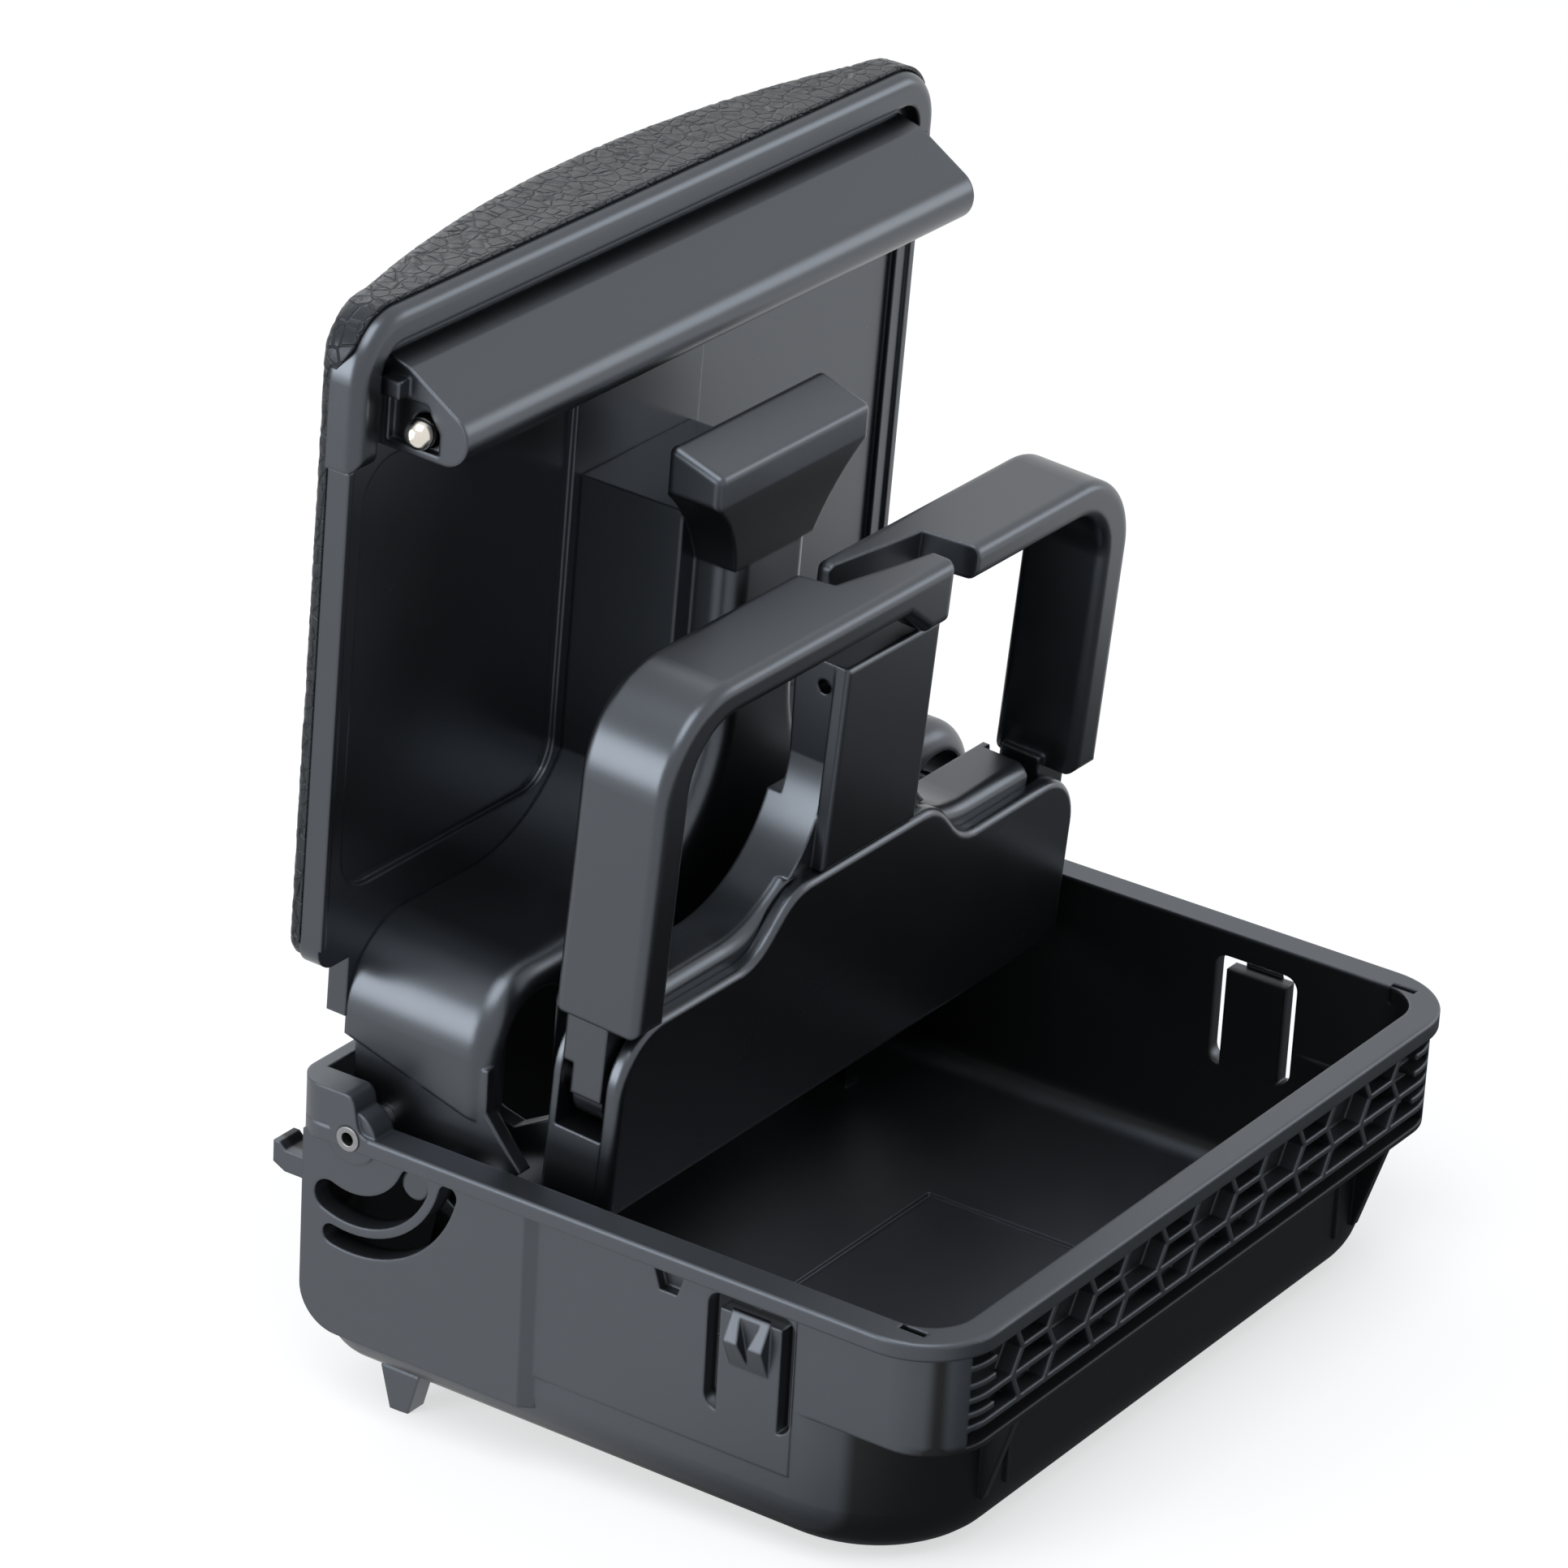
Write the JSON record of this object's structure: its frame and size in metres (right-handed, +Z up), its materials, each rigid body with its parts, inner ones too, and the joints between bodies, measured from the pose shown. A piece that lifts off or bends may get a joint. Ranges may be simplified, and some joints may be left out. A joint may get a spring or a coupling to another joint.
{
  "type": "car cup holder",
  "caption": "Folding rear console cup holder: an open tub with a padded lid that swings up and raises a ring frame with sprung arms for holding cups and cans.",
  "frame": {"origin": "middle of the bounding box in plan, at the bottom of the feet", "axes": "+X across the width, +Y from the lattice end of the tub towards the hinged lid, +Z up out of the tub"},
  "size_m": [0.1504, 0.1322, 0.1786],
  "materials": {
    "black_plastic": "satin moulded black",
    "steel": "drawn steel",
    "nickel": "bright nickel plate",
    "leatherette": "pebble grain"
  },
  "bodies": {
    "tub": {"tub": "black_plastic", "hinge_pin_left": "steel", "hinge_pin_right": "steel", "frame_pin_left": "steel", "frame_pin_right": "steel"},
    "lid": {"lid_panel": "black_plastic", "lid_trim": "black_plastic", "lid_skin": "leatherette", "latch_bar": "black_plastic", "latch_spring_left": "steel", "latch_spring_right": "steel", "cradle": "black_plastic", "cradle_screw_lower": "steel", "cradle_screw_upper": "steel", "bar_screw_left": "steel", "bar_screw_right": "steel"},
    "latch_pin_left": {"latch_pin_left": "nickel"},
    "latch_pin_right": {"latch_pin_right": "nickel"},
    "ring_frame": {"frame_shell": "black_plastic", "frame_cover": "black_plastic", "arm_pin_left": "steel", "arm_pin_right": "steel", "arm_spring_left": "steel", "arm_spring_right": "steel", "cover_screw_left": "steel", "cover_screw_right": "steel"},
    "arm_left": {"arm_left": "black_plastic"},
    "arm_right": {"arm_right": "black_plastic"}
  },
  "joints": [
    {"name": "lid_hinge", "type": "hinge", "parent": "tub", "child": "lid", "pos_m": [0, 0.042, 0.048], "axis": [1, 0, 0], "range_deg": [0, 88]},
    {"name": "ring_frame_hinge", "type": "hinge", "parent": "tub", "child": "ring_frame", "pos_m": [0, 0.032, 0.044], "axis": [1, 0, 0], "range_deg": [0, 88]},
    {"name": "arm_left_swing", "type": "hinge", "parent": "ring_frame", "child": "arm_left", "pos_m": [-0.057, 0.00751, 0.06155], "axis": [0, 0.9976, 0.0698], "range_deg": [-38, 0], "stiffness_Nm_per_rad": 0.06, "springref_deg": 20.05},
    {"name": "arm_right_swing", "type": "hinge", "parent": "ring_frame", "child": "arm_right", "pos_m": [0.057, 0.00751, 0.06155], "axis": [0, -0.9976, -0.0698], "range_deg": [-38, 0], "stiffness_Nm_per_rad": 0.06, "springref_deg": 20.05},
    {"name": "latch_left_slide", "type": "slide", "parent": "lid", "child": "latch_pin_left", "axis": [-1, 0, 0], "range_m": [-0.002, 0], "stiffness_N_per_m": 600, "springref_m": 0.002, "deforming": ["latch_spring_left"]},
    {"name": "latch_right_slide", "type": "slide", "parent": "lid", "child": "latch_pin_right", "axis": [1, 0, 0], "range_m": [-0.002, 0], "stiffness_N_per_m": 600, "springref_m": 0.002, "deforming": ["latch_spring_right"]}
  ],
  "couplings": [
    {"joint": "ring_frame_hinge", "follows": "lid_hinge", "ratio": 1}
  ]
}
